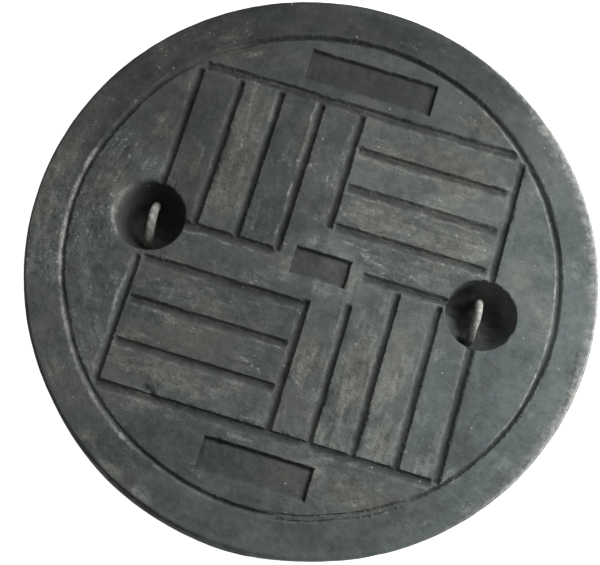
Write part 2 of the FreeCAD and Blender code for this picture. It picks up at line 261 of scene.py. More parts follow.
class Noise:
    """Seeded smooth noise over a plane, between -1 and 1."""

    SIDE = 256

    def __init__(self, seed):
        self.table = np.random.default_rng(seed).uniform(-1.0, 1.0, (self.SIDE, self.SIDE))

    def at(self, x, y, cell):
        grid_x = x / cell
        grid_y = y / cell
        left = np.floor(grid_x).astype(int)
        low = np.floor(grid_y).astype(int)
        part_x = grid_x - left
        part_y = grid_y - low
        ease_x = part_x * part_x * (3.0 - 2.0 * part_x)
        ease_y = part_y * part_y * (3.0 - 2.0 * part_y)
        left = left % self.SIDE
        low = low % self.SIDE
        right = (left + 1) % self.SIDE
        high = (low + 1) % self.SIDE
        under = self.table[left, low] * (1.0 - ease_x) + self.table[right, low] * ease_x
        over = self.table[left, high] * (1.0 - ease_x) + self.table[right, high] * ease_x
        return under * (1.0 - ease_y) + over * ease_y

    def line(self, along, row, cell):
        """The noise along one straight row of the plane."""
        return self.at(along, np.full_like(along, row), cell)

    def cloud(self, x, y, cell, octaves=3):
        """Several sizes of noise on top of each other."""
        total = np.zeros_like(x)
        for octave in range(octaves):
            total += self.at(x + 91.7 * octave, y - 53.1 * octave, cell / 2.0 ** octave) / 2.0 ** octave
        return total / 1.5


def ease(value, low, high):
    """A smooth step from 0 at low to 1 at high."""
    part = np.clip((value - low) / (high - low), 0.0, 1.0)
    return part * part * (3.0 - 2.0 * part)


def stretch(value, start, full, fade, end):
    """A smooth share that rises from start to full and falls again from fade to end."""
    return ease(value, start, full) * (1.0 - ease(value, fade, end))


def length(name, description, default):
    return bpy.props.FloatProperty(name=name, description=description, default=default, unit="LENGTH")


def lengths(name, description, default):
    return bpy.props.FloatVectorProperty(
        name=name, description=description, size=len(default), default=default, unit="LENGTH")


def turn_angle(name, description, degrees):
    return bpy.props.FloatProperty(
        name=name, description=description, default=math.radians(degrees), subtype="ANGLE")


def colour(name, description, default):
    return bpy.props.FloatVectorProperty(
        name=name, description=description, subtype="COLOR", size=3, default=default, min=0.0, max=1.0)


class CoverSizes(bpy.types.PropertyGroup):
    pattern_shift: lengths(
        "Pattern shift", "How far the groove pattern sits off the middle of the disc", (0.0032, 0.0027))
    groove_steep: length("Groove steep side", "Straight grooves, middle to the lip of the steep side", 0.0029)
    groove_worn: length("Groove worn side", "Straight grooves, middle to the lip of the worn side", 0.0064)
    groove_floor: length("Groove floor", "Straight grooves, half of the floor's width", 0.0015)
    groove_depth: length("Groove depth", "Straight grooves, down from the tread face", 0.0058)
    ring_radius: length("Ring radius", "Middle of the ring groove", 0.258)
    ring_shift: lengths(
        "Ring shift", "How far the ring groove sits off the middle of the disc", (-0.0006, -0.0013))
    ring_steep: length("Ring steep side", "Ring groove, middle to the lip of the steep side", 0.0029)
    ring_worn: length("Ring worn side", "Ring groove, middle to the lip of the worn side", 0.0042)
    ring_depth: length("Ring depth", "Ring groove, down from the tread face", 0.0048)
    panel_depth: length("Panel depth", "Recessed panels, down from the tread face", 0.0046)
    pocket_across: length("Pocket place", "Middle of the cover to the axis of a lifting pocket", 0.17996)
    pocket_radius: length("Pocket radius", "Lifting pocket, at its mouth", 0.0375)
    pocket_depth: length("Pocket depth", "Lifting pocket, tread face to floor", 0.042)
    bowl_radius: length("Bowl radius", "Curve between a pocket's wall and floor", 0.030)
    flare_reach: length("Flare reach", "How far the left pocket's mouth slants outward", 0.0045)
    rim_round: length("Rim rounding", "Rounding of the upper rim", 0.004)
    side_draft: length("Side draft", "How much smaller the radius is at the underside", 0.014)
    foot_chamfer: length("Foot chamfer", "Chamfer round the underside", 0.004)
    point_gap: length("Point spacing", "Distance between the points of the tread face", 0.00245)


class CoverFinish(bpy.types.PropertyGroup):
    cool_grey: colour("Cool grey", "Smooth cement skin", (0.146, 0.171, 0.170))
    warm_grey: colour("Warm grey", "Worn, earthy cement", (0.168, 0.176, 0.160))
    # The dust colour is also laid on as painted highlights, and the grime colour also as painted shade
    dust_and_highlight: colour("Dust", "Pale rubbed edges and dusty stains", (0.42, 0.43, 0.41))
    grime_and_shade: colour("Grime", "Dark dirt in the grooves and pits", (0.045, 0.047, 0.046))
    speck: colour("Specks", "Bare pale sand grains", (0.62, 0.63, 0.60))


class HookSizes(bpy.types.PropertyGroup):
    bar_radius: length("Bar radius", "Half the thickness of the bent bar", 0.0047)
    arch_radius: length("Arch radius", "Bend of the arch, on the bar's middle line", 0.022)
    crown_level: length("Crown level", "Underside of the cover to the middle of the bar at the crown", 0.060)
    anchor_level: length("Cross bar level", "Underside of the cover to the middle of the cross bar", 0.018)
    anchor_length: length("Cross bar length", "Cross bar welded under the legs", 0.136)
    set_back: length("Set back", "How far the hooks sit off the axes of their pockets", -0.0015)
    left_turn: turn_angle("Left turn", "Turn of the left hook about its pocket's axis", 6.0)
    left_lean: turn_angle("Left lean", "How far the left hook leans to +X", 2.5)
    right_lean: turn_angle("Right lean", "How far the right hook leans to +X", -2.5)


class HookFinish(bpy.types.PropertyGroup):
    cement_film: colour("Cement film", "Dried cement on the bar", (0.66, 0.65, 0.61))
    crust: colour("Crust", "Pale crumbs of cement left on the bar", (0.90, 0.89, 0.86))
    bare_steel: colour("Bare steel", "Dull steel where the film is worn off", (0.33, 0.32, 0.29))
    rust: colour("Rust", "Thin rust in the pits of the bar", (0.12, 0.075, 0.045))


class StageSettings(bpy.types.PropertyGroup):
    camera_place: lengths("Camera", "Place of the camera", (0.01359, -0.30169, 1.22699))
    camera_turn: bpy.props.FloatVectorProperty(
        name="Camera turn", description="Direction of the camera", size=3, subtype="EULER",
        default=tuple(math.radians(angle) for angle in (13.3632, -2.8724, 16.6122)))
    lens: bpy.props.FloatProperty(
        name="Lens", description="Focal length in millimetres", default=68.70)
    key_place: lengths("Key light", "Place of the main soft light", (0.72, 0.30, 0.70))
    key_size: length("Key size", "Side of the main soft light", 0.65)
    key_power: bpy.props.FloatProperty(
        name="Key power", description="Power of the main soft light", default=6.4, unit="POWER")
    top_place: lengths("Top light", "Place of the far soft light", (0.76, 1.95, 2.23))
    top_size: length("Top size", "Side of the far soft light", 1.0)
    top_power: bpy.props.FloatProperty(
        name="Top power", description="Power of the far soft light", default=15.0, unit="POWER")
    fill: bpy.props.FloatProperty(
        name="Fill", description="Strength of the light from all around", default=0.10)
    floor_colour: colour("Floor", "Pale floor", (0.92, 0.92, 0.92))
    floor_glow: bpy.props.FloatProperty(
        name="Floor glow", description="Light of the floor itself", default=1.0)


class Millimetres:
    """Reads the lengths of a group of properties in millimetres."""

    def __init__(self, group):
        self.group = group

    def __getattr__(self, name):
        value = getattr(self.group, name)
        if isinstance(value, float):
            return value / MM
        return tuple(part / MM for part in value)


class Value:
    """A value inside a material, on which arithmetic adds Math nodes."""

    def __init__(self, finish, socket):
        self.finish = finish
        self.socket = socket

    def maths(self, operation, first, second):
        return self.finish.node("ShaderNodeMath", {"operation": operation}, {0: first, 1: second})

    def __add__(self, other):
        return self.maths("ADD", self, other)

    __radd__ = __add__

    def __mul__(self, other):
        return self.maths("MULTIPLY", self, other)

    __rmul__ = __mul__

    def __sub__(self, other):
        return self.maths("SUBTRACT", self, other)

    def __rsub__(self, other):
        return self.maths("SUBTRACT", other, self)

    def between(self, low, high):
        """0 below low, 1 above high and a smooth step between them."""
        return self.finish.node(
            "ShaderNodeMapRange", {"interpolation_type": "SMOOTHSTEP"},
            {"Value": self, "From Min": low, "From Max": high})


class Finish:
    """A material being made, with one method for all its nodes."""

    def __init__(self, name):
        self.material = bpy.data.materials.new(name)
        self.material.use_nodes = True
        self.tree = self.material.node_tree
        self.tree.nodes.clear()
        self.place = self.node("ShaderNodeTexCoord", out="Object")

    def node(self, kind, settings=None, sockets=None, out=0):
        """Add a node of any kind: its settings first, then the values or links of its sockets."""
        made = self.tree.nodes.new(kind)
        for name, setting in (settings or {}).items():
            setattr(made, name, setting)
        for name, content in (sockets or {}).items():
            if isinstance(content, Value):
                self.tree.links.new(content.socket, made.inputs[name])
            else:
                made.inputs[name].default_value = content
        return Value(self, made.outputs[out]) if made.outputs else None

    def attribute(self, name):
        """A number kept on the mesh's points."""
        return self.node("ShaderNodeAttribute", {"attribute_name": name}, out="Fac")

    def noise(self, scale, detail=2.0, roughness=0.5, vector=None):
        return self.node("ShaderNodeTexNoise", None, {
            "Vector": vector or self.place, "Scale": scale, "Detail": detail, "Roughness": roughness})

    def streaks(self, across, along, detail, seed):
        """Noise stretched along the grain, from how often it changes across and along a metre of it."""
        steps = {
            "X": self.attribute("across") * (across * MM),
            "Y": self.attribute("along") * (along * MM),
            "Z": seed,
        }
        return self.noise(1.0, detail, 0.62, self.node("ShaderNodeCombineXYZ", None, steps))

    def moved(self, step):
        """The place, moved aside, so that one noise doesn't follow another."""
        return self.node("ShaderNodeVectorMath", {"operation": "ADD"}, {0: self.place, 1: step})

    def grains(self, scale, out="Distance"):
        return self.node("ShaderNodeTexVoronoi", None, {"Vector": self.place, "Scale": scale}, out)

    def mix(self, factor, first, second, blend="MIX"):
        """A colour between two others."""
        colours = [colour if isinstance(colour, Value) else (*colour, 1.0) for colour in (first, second)]
        return self.node("ShaderNodeMix", {"data_type": "RGBA", "blend_type": blend},
                         {0: factor, 6: colours[0], 7: colours[1]}, 2)

    def bump(self, height, strength, distance):
        sockets = {"Strength": strength, "Distance": distance, "Height": height}
        return self.node("ShaderNodeBump", None, sockets)

    def close(self, **sockets):
        """The surface itself, from its own sockets."""
        shader = self.node("ShaderNodeBsdfPrincipled", None,
                           {name.replace("_", " "): content for name, content in sockets.items()})
        self.node("ShaderNodeOutputMaterial", None, {"Surface": shader})
        return self.material


class Casting:
    """The cover's surface: heights over the tread face, and the finish that goes with them."""

    def __init__(self, sizes):
        self.sizes = sizes
        self.broad = Noise(11)
        self.small = Noise(23)

    def pattern(self, x, y):
        """Places on the disc as places in the groove pattern."""
        shift_x, shift_y = self.sizes.pattern_shift
        return x - shift_x, y - shift_y

    def strip_depth(self, x, y):
        """How deep the straight grooves are, how near the rubbed lips, which on the worn side facing the
        light are partly painted highlight, and the dirt in the grooves.
        """
        sizes = self.sizes
        depth = np.zeros_like(x)
        lip = np.zeros_like(x)
        dirt = np.zeros_like(x)
        px, py = self.pattern(x, y)
        for number, (way, place, start, end, lip_dust_and_highlight) in enumerate(STRIPS):
            along, across = (py, px) if way == "y" else (px, py)
            near = np.abs(across - place) < STRIP_REACH
            near &= (along > start - STRIP_RUN_ON) & (along < end + STRIP_RUN_ON)
            t = along[near]
            there_x, there_y = x[near], y[near]
            wobble = 0.45 * self.small.line(t, 40.0 * number, 23.0)
            side = across[near] - place - wobble
            ragged = 0.55 * self.small.at(there_x, there_y, 3.4) + 0.45 * self.small.at(there_x, there_y, 8.0)
            u = np.abs(side) + ragged * np.where(side > 0.0, 0.45, 1.0)
            worn = sizes.groove_worn * (1.0 if way == "y" else 1.22)
            worn = worn * (1.0 + 0.16 * self.small.line(t, 77.0 * number, 14.0))
            worn = worn + 0.9 * self.small.at(there_x + 50.0, there_y, 5.0)
            half = np.where(side > 0.0, sizes.groove_steep, worn)
            deep = sizes.groove_depth * (0.92 if way == "y" else 0.76)
            deep = deep * (1.0 + 0.12 * self.broad.line(t, 31.0 * number, 35.0))
            wall = np.clip((u - sizes.groove_floor) / (half - sizes.groove_floor), 0.0, 1.0)
            run_out = 3.0 if way == "y" else 6.0
            stop = stretch(t, start - 1.6, start + 3.0, end - run_out, end + 1.6)
            lumps = 0.5 * self.small.at(there_x, there_y + 70.0, 2.9) * np.sqrt(wall * (1.0 - wall))
            depth[near] = np.maximum(depth[near], (deep * (1.0 - wall) ** 1.1 + lumps) * stop)
            # The pale lip is strongest on the worn side, which faces the light: rubbed dust and partly a
            # painted highlight
            rub = stretch(u, half - 2.6, half - 0.5, half + 0.2, half + 2.4) * stop
            lip[near] = np.maximum(lip[near], rub * np.where(side > 0.0, 0.15, 0.22 + lip_dust_and_highlight))
            caked = 1.0 + 0.35 * self.small.cloud(there_x + 20.0, there_y, 11.0, 3)
            low = 1.0 - wall
            steep_dirt, worn_dirt = (0.28, 1.02) if way == "y" else (0.0, 1.10)
            cleared = 0.4 * lip_dust_and_highlight + 1.3 * max(0.0, lip_dust_and_highlight - 0.6)
            worn_dirt = worn_dirt * low ** 0.8 * (1.0 - 0.26 * low ** 3) * (1.0 - cleared)
            packed = np.where(side > 0.0, steep_dirt * low, worn_dirt) * stop * caked
            dirt[near] = np.maximum(dirt[near], packed)
        return depth, lip, dirt

    def ring_depth(self, x, y):
        """How deep the ring groove is, how near its lip, which is a painted highlight on the side facing the
        light, and the dirt in it, with a painted shadow line where it is thin.
        """
        sizes = self.sizes
        shift_x, shift_y = sizes.ring_shift
        radius = np.hypot(x - shift_x, y - shift_y)
        angle = np.degrees(np.arctan2(y, x))
        arc = np.radians(angle) * sizes.ring_radius
        side = radius - sizes.ring_radius - 0.5 * self.small.line(arc, 0.0, 31.0)
        for heading, reach, drift in RING_DRIFT:
            turn = (angle - heading + 180.0) % 360.0 - 180.0
            side = side - drift * np.exp(-(turn / reach) ** 2)
        facing = np.cos(np.radians(angle - 35.0))
        shaded = ease(side * facing, -0.5, 0.5)
        u = np.abs(side) + 0.40 * self.small.at(x, y, 3.6) + 0.25 * self.small.at(x, y, 8.0)
        right = stretch(angle, -45.0, -10.0, 45.0, 75.0)
        left = stretch(angle % 360.0, 160.0, 176.0, 236.0, 256.0)
        narrow = stretch(angle, -60.0, -45.0, -18.0, -5.0)
        steep = sizes.ring_steep + 0.8 * right
        lower = stretch(angle % 360.0, 196.0, 214.0, 268.0, 284.0)
        upper = stretch(angle % 360.0, 164.0, 174.0, 196.0, 210.0)
        half = sizes.ring_worn + (steep - sizes.ring_worn) * shaded
        slim = stretch(angle, -66.0, -56.0, -42.0, -24.0)
        half = half * (1.0 - 0.30 * narrow - 0.14 * lower - 0.28 * upper - 0.16 * slim)
        wall = np.clip((u - 1.0) / (half - 1.0), 0.0, 1.0)
        faint = stretch(angle, 119.0, 129.0, 132.0, 146.0)
        packed = stretch(angle, -88.0, -80.0, -58.0, -48.0)
        deep = sizes.ring_depth * (1.0 - 0.24 * left - 0.24 * lower - 0.25 * slim)
        deep = deep * (1.0 + 0.15 * self.broad.line(arc, 0.0, 40.0))
        gap = (1.0 - wall) ** 1.1 * (1.0 - 0.8 * faint) * (1.0 - 0.88 * packed)
        # Where the groove is only a thin line, too narrow for the mesh to shade itself, a painted shadow line
        # stands in for its shade
        thin = np.exp(-((np.abs(side) - 2.5) / 0.7) ** 2) * packed
        lasting = stretch(angle, -70.0, -62.0, -46.0, -36.0)
        middle = -2.5 * (1.0 - ease(angle, -60.0, -48.0))
        thin = np.maximum(thin, np.exp(-((side - middle) / 0.9) ** 2) * lasting)
        # The pale lip is painted only where the wall faces the light: a painted highlight, with pale sand
        # added on the packed stretch
        rub = stretch(u, half - 2.0, half - 0.4, half + 0.2, half + 1.6 + 2.2 * left)
        bright = stretch(angle, -16.0, -6.0, 12.0, 20.0)
        bright = 0.3 + np.maximum(1.15 * left, 0.9 * right) + 0.7 * upper + 0.6 * bright + 0.3 * narrow
        rub = rub * (1.0 - shaded) * (1.0 - faint) * bright
        sandy = packed * ease(self.small.at(x, y + 40.0, 2.6), 0.45, 0.7) * (np.abs(side) < 5.0)
        top = stretch(angle, 50.0, 80.0, 114.0, 124.0)
        caked = 0.26 + 0.35 * narrow + 0.2 * right + 0.7 * top - 0.20 * np.maximum(left, lower)
        dirt = np.maximum(caked * gap, 0.66 * thin)
        return np.maximum(deep * gap, 2.1 * thin), np.maximum(rub, sandy), dirt

    def panel_depth(self, x, y):
        """How deep the recessed panels are, where their floors lie, the dirt on them and the painted shade at
        the foot of their walls.
        """
        px, py = self.pattern(x, y)
        depth = np.zeros_like(x)
        floor = np.zeros_like(x)
        dirt = np.zeros_like(x)
        ragged = 0.35 * self.small.at(x, y, 3.4) + 0.3 * self.small.at(x, y, 9.0)
        for (left, low), (right, high), caked in PANELS:
            sides = np.stack([px - left, right - px, py - low, high - py])
            inside = sides.min(axis=0) + ragged
            wall = np.clip((inside + 0.3) / 1.5, 0.0, 1.0)
            depth = np.maximum(depth, wall * self.sizes.panel_depth)
            floor = np.maximum(floor, ease(inside, 0.5, 4.0))
            # Painted shade at the foot of the panel walls, by wall: left, right, low, high; the low wall
            # faces the light and gets little
            wall_shade_weight = np.array([0.9, 1.0, 0.2, 0.9])[sides.argmin(axis=0)]
            foot = stretch(inside, -0.6, 0.4, 1.8, 4.6)
            dirt = np.maximum(dirt, np.maximum(wall_shade_weight * foot, caked * ease(inside, 0.5, 4.0)))
        rough = 0.7 * self.small.cloud(x, y, 9.0) + 0.4 * self.small.at(x, y, 3.2)
        return depth + floor * rough, floor, dirt

    def flare_depth(self, x, y):
        """How deep the slanting mouth of the left pocket is."""
        sizes = self.sizes
        lip = sizes.pocket_radius + 2.0
        across = x + sizes.pocket_across - sizes.flare_reach * math.cos(FLARE_HEADING)
        along = y - sizes.flare_reach * math.sin(FLARE_HEADING)
        slant = np.maximum(lip - np.hypot(across, along) + 0.8 * self.small.at(x, y, 9.0), 0.0)
        return np.minimum(0.6 * slant + 0.05 * slant ** 2, 15.0)

    def mouth_depth(self, x, y):
        """The small rounding of the two pocket mouths."""
        sizes = self.sizes
        radius = np.hypot(np.abs(x) - sizes.pocket_across, y)
        return 0.8 * (1.0 - ease(radius, sizes.pocket_radius - 0.2, sizes.pocket_radius + 1.4)) ** 2

    def height(self, x, y):
        """The level of the tread face, with its grooves, panels, pits and grain."""
        strips, _, _ = self.strip_depth(x, y)
        ring, _, _ = self.ring_depth(x, y)
        panels, _, _ = self.panel_depth(x, y)
        depth = np.maximum(np.maximum(strips, ring), panels)
        depth = np.maximum(depth, self.flare_depth(x, y))
        depth = np.maximum(depth, self.mouth_depth(x, y))
        for pit_x, pit_y, radius, deep in PITS:
            away = np.hypot((x - pit_x) / 1.4, y - pit_y) / radius + 0.12 * self.small.at(x, y, 2.5)
            depth = depth + deep * (1.0 - ease(away, 0.3, 1.1))
        level = 0.55 * self.broad.cloud(x, y, 70.0, 2)
        level = level + 0.16 * self.small.cloud(x, y, 9.0, 3)
        return TOP + level - depth

    def bar_tone(self, px, py):
        """The tone of the bar that a place of the pattern lies on, with painted light in it."""
        tone_and_light = np.ones_like(px)
        for block, tones in BAR_TONES.items():
            up = 1.0 if "upper" in block else -1.0
            right = 1.0 if "right" in block else -1.0
            inside = (px * right > 0.0) & (py * up > 0.0) & (np.maximum(np.abs(px), np.abs(py)) < SQUARE)
            across = px if up * right < 0.0 else -py
            first = (across // BAR).astype(int) % len(tones)
            tone_and_light[inside] = np.array(tones)[first[inside]]
        return tone_and_light

    def grain(self, x, y):
        """Places across and along the way that the surface was trowelled: the bars, or round the border."""
        px, py = self.pattern(x, y)
        barred = np.maximum(np.abs(px), np.abs(py)) < SQUARE + 1.0
        upright = px * py < 0.0
        angle = np.arctan2(y, x)
        across = np.where(upright, px, py)
        along = np.where(upright, py, px) + 400.0 * (across // BAR)
        return np.where(barred, across, np.hypot(x, y)), np.where(barred, along, angle * BORDER_RADIUS)

    def border_tone_and_light(self, x, y):
        """The border and field are palest on the right, and the border is darkest at the upper left: painted
        light falloff laid over the cement's own tone.
        """
        angle = np.arctan2(y, x)
        degrees = np.degrees(angle)
        radius = np.hypot(x, y)
        tone_and_light = 1.0 + 0.20 * np.cos(angle - COOL_AND_LIT_HEADING) + 0.14 * np.cos(2.0 * angle + 0.3)
        border = ease(radius, 254.0, 264.0)
        dark = stretch(degrees, 38.0, 68.0, 150.0, 178.0)
        low = stretch(degrees % 360.0, 176.0, 200.0, 276.0, 296.0)
        edge = np.zeros_like(x)
        for start, full, fade, end, change in EDGE_TONES:
            heading = degrees % 360.0 if end > 180.0 else degrees
            edge = edge + change * stretch(heading, start, full, fade, end)
        edge = edge * ease(radius, 288.0, 294.0)
        return tone_and_light * (1.0 - 0.32 * dark * border + low * (0.12 + 0.06 * border) + edge)

    def stained(self, x, y, tone_and_light, warmth, rubbed):
        """Tone, warmth and rubbing with the stains and scuffs laid over them."""
        bend_x = 9.0 * self.broad.cloud(x, y, 30.0, 3)
        bend_y = 9.0 * self.broad.cloud(x + 800.0, y, 30.0, 3)
        for spot_x, spot_y, reach_x, reach_y, shade, warm, rub in STAINS:
            away = np.hypot((x + bend_x - spot_x) / reach_x, (y + bend_y - spot_y) / reach_y)
            share = 1.0 - ease(away, 0.35, 1.25)
            tone_and_light = tone_and_light * (1.0 + shade * share)
            warmth = warmth + warm * share
            rubbed = rubbed + rub * share
        return tone_and_light, warmth, rubbed

    def rim_dust_and_highlight(self, radius, degrees, worn_and_lit_side, fine, crumbs):
        """Pale rubbing along the outer edge, with brighter strokes on it; on the side that faces the light it
        is partly a painted highlight of the arris.
        """
        dust_and_highlight = ease(radius + 5.0 * fine, 283.0, 298.0) * (0.85 + 0.6 * crumbs)
        dust_and_highlight = dust_and_highlight * ease(worn_and_lit_side, 0.60, 0.94) * (1.0 - 0.7 * ease(degrees, 46.0, 58.0))
        for start, end, middle, half, strength in RIM_STROKES:
            share = stretch(degrees, start - 1.0, start + 1.0, end - 1.0, end + 1.0)
            share = share * (1.0 - ease(np.abs(radius - middle) + 0.6 * fine, 0.4 * half, 1.2 * half))
            dust_and_highlight = np.maximum(dust_and_highlight, strength * share * (0.5 + 0.7 * crumbs))
        return dust_and_highlight

    def rim_dirt_and_shade(self, radius, degrees, fine):
        """Dirt in the crack across the border, and painted shade along the far and the low outer edge."""
        aside = np.abs(radius - 289.4 + 0.63 * (degrees + 6.9) + 0.8 * fine)
        crack = stretch(degrees, -15.0, -12.0, -3.0, 0.0) * (1.0 - ease(aside, 0.4, 1.5))
        # Painted shade: the far outer edge and the low one face away from the light; only the crack holds
        # dirt
        far = np.maximum(ease(degrees, 64.0, 74.0), 1.0 - ease(degrees, -150.0, -132.0))
        low = stretch(degrees, -132.0, -118.0, -86.0, -74.0)
        grime_and_shade = np.maximum(0.7 * crack, 0.85 * far * ease(radius + 0.8 * fine, 296.4, 298.4))
        return np.maximum(grime_and_shade, 0.62 * low * ease(radius + 1.5 * fine, 296.5, 299.0))

    def scratch_dust(self, x, y, crumbs):
        """Pale scratches, each a straight stroke between its two ends."""
        dust_and_highlight = np.zeros_like(x)
        for start_x, start_y, end_x, end_y, half, strength in SCRATCHES:
            run_x = end_x - start_x
            run_y = end_y - start_y
            share = ((x - start_x) * run_x + (y - start_y) * run_y) / (run_x ** 2 + run_y ** 2)
            share = np.clip(share, 0.0, 1.0)
            away = np.hypot(x - start_x - share * run_x, y - start_y - share * run_y)
            stroke = 1.0 - ease(away, 0.4 * half, 1.4 * half)
            dust_and_highlight = np.maximum(dust_and_highlight, strength * stroke * (0.6 + 0.5 * crumbs))
        return dust_and_highlight

    def finish(self, x, y):
        """What the material reads at each point: tone with painted light, warmth, dust with painted
        highlights, grime with painted shade, rubbing and grain.
        """
        _, lip, dirt = self.strip_depth(x, y)
        _, ring_lip_highlight_and_sand, ring_dirt = self.ring_depth(x, y)
        _, floor, panel_dirt = self.panel_depth(x, y)
        px, py = self.pattern(x, y)
        angle = np.arctan2(y, x)
        radius = np.hypot(x, y)
        square = np.maximum(np.abs(px), np.abs(py))
        field = 1.0 - ease(square, SQUARE - 2.0, SQUARE + 4.0)
        pad = 1.0 - ease(square, 40.0, 50.0)
        # Tone here is partly painted light: the border and bar tones are lighter on the right and darker at
        # the upper left
        tone_and_light = self.border_tone_and_light(x, y) * (1.0 - field) + self.bar_tone(px, py) * field
        cool_side = np.cos(angle - COOL_AND_LIT_HEADING)
        warmth = (0.33 - 0.27 * cool_side) * (1.0 - field) + (0.52 - 0.06 * cool_side) * field
        rubbed = 0.14 + 0.20 * field * (1.0 - pad) + 0.14 * (1.0 - field) * ease(-x, 60.0, 220.0)
        rubbed = rubbed + 0.12 * (1.0 - field) * ease(x, 120.0, 260.0)
        tone_and_light, warmth, rubbed = self.stained(x, y, tone_and_light, warmth, rubbed)
        fine = self.small.cloud(x + 300.0, y, 12.0, 3)
        crumbs = ease(self.small.cloud(x, y + 200.0, 4.6, 2), -0.25, 0.45)
        worn_and_lit_side = 0.5 + 0.5 * np.cos(angle - WORN_AND_LIT_HEADING)
        degrees = np.degrees(angle) + 2.0 * fine
        spread = ease(fine, -0.35, 0.45)
        dust_and_highlight = np.maximum(lip * (0.25 + 0.85 * spread), ring_lip_highlight_and_sand * (0.50 + 0.60 * spread))
        dust_and_highlight = dust_and_highlight + self.rim_dust_and_highlight(radius, degrees, worn_and_lit_side, fine, crumbs)
        grime_and_shade = np.maximum(np.maximum(dirt, ring_dirt), panel_dirt)
        grime_and_shade = np.maximum(grime_and_shade, self.rim_dirt_and_shade(radius, degrees, fine))
        slant = self.flare_depth(x, y)
        # Painted light on the left pocket's slanting mouth: a painted highlight on the side facing the light,
        # painted shade on the rest
        toward = np.cos(np.arctan2(y, x + self.sizes.pocket_across) - LIT_FLARE_HEADING)
        lit_flare = ease(toward, 0.45, 0.88)
        dust_and_highlight = dust_and_highlight + 0.95 * lit_flare * ease(slant, 0.5, 3.4) * (0.9 + 0.3 * fine)
        dust_and_highlight = np.maximum(dust_and_highlight, self.scratch_dust(x, y, crumbs))
        grime_and_shade = np.maximum(grime_and_shade, 0.45 * (1.0 - lit_flare) * ease(slant, 1.0, 4.0))
        across, along = self.grain(x, y)
        return {
            "tone_and_light": tone_and_light,
            "warmth": np.clip(warmth, 0.0, 1.0),
            "dust_and_highlight": np.clip(dust_and_highlight, 0.0, 1.7),
            "grime_and_shade": np.clip(grime_and_shade, 0.0, 1.0),
            "rubbed": np.clip(rubbed, 0.0, 1.0) * (1.0 - floor),
            "across": across,
            "along": along,
        }


class PointField:
    """Points over the tread face, kept apart from each other by a fine map of what is taken."""

    CELL = 0.5

    def __init__(self, reach):
        self.reach = reach
        side = int(2.0 * reach / self.CELL) + 8
        self.taken = np.zeros((side, side), dtype=bool)
        self.groups = []

    def cells(self, points):
        return ((points + self.reach) / self.CELL + 4.0).astype(int)

    def claim(self, points, gap):
        """Keep every point nearer to it than a gap from being used again."""
        cells = self.cells(points)
        reach = int(math.ceil(gap / self.CELL))
        for step_x in range(-reach, reach + 1):
            for step_y in range(-reach, reach + 1):
                if math.hypot(step_x, step_y) * self.CELL <= gap:
                    rows = np.clip(cells[:, 0] + step_x, 0, len(self.taken) - 1)
                    columns = np.clip(cells[:, 1] + step_y, 0, len(self.taken) - 1)
                    self.taken[rows, columns] = True

    def add(self, points, gap, allowed):
        """Take the points that are allowed and free, and claim the room round them."""
        points = points[allowed(points)]
        cells = self.cells(points)
        points = points[~self.taken[cells[:, 0], cells[:, 1]]]
        self.groups.append(points)
        self.claim(points, gap)


def ring_points(middle, radius, count, turn=0.0):
    """Points evenly round a circle."""
    angles = np.arange(count) * (2.0 * math.pi / count) + turn
    return np.stack([middle[0] + radius * np.cos(angles), middle[1] + radius * np.sin(angles)], axis=1)


def strip_points(sizes):
    """Rows of points along the straight grooves, close together across them."""
    shift_x, shift_y = sizes.pattern_shift
    rows = []
    for way, place, start, end, _ in STRIPS:
        ends = [start - 2.2, start - 0.9, start + 0.5, start + 1.8]
        middle = np.linspace(start + 3.6, end - 3.6, max(2, int((end - start - 7.2) / 2.7)))
        along = np.concatenate([ends, middle, [end - 1.8, end - 0.5, end + 0.9, end + 2.2]])
        for offset in STRIP_ROWS:
            across = np.full_like(along, place + offset)
            pair = (across, along) if way == "y" else (along, across)
            rows.append(np.stack([pair[0] + shift_x, pair[1] + shift_y], axis=1))
    return rows


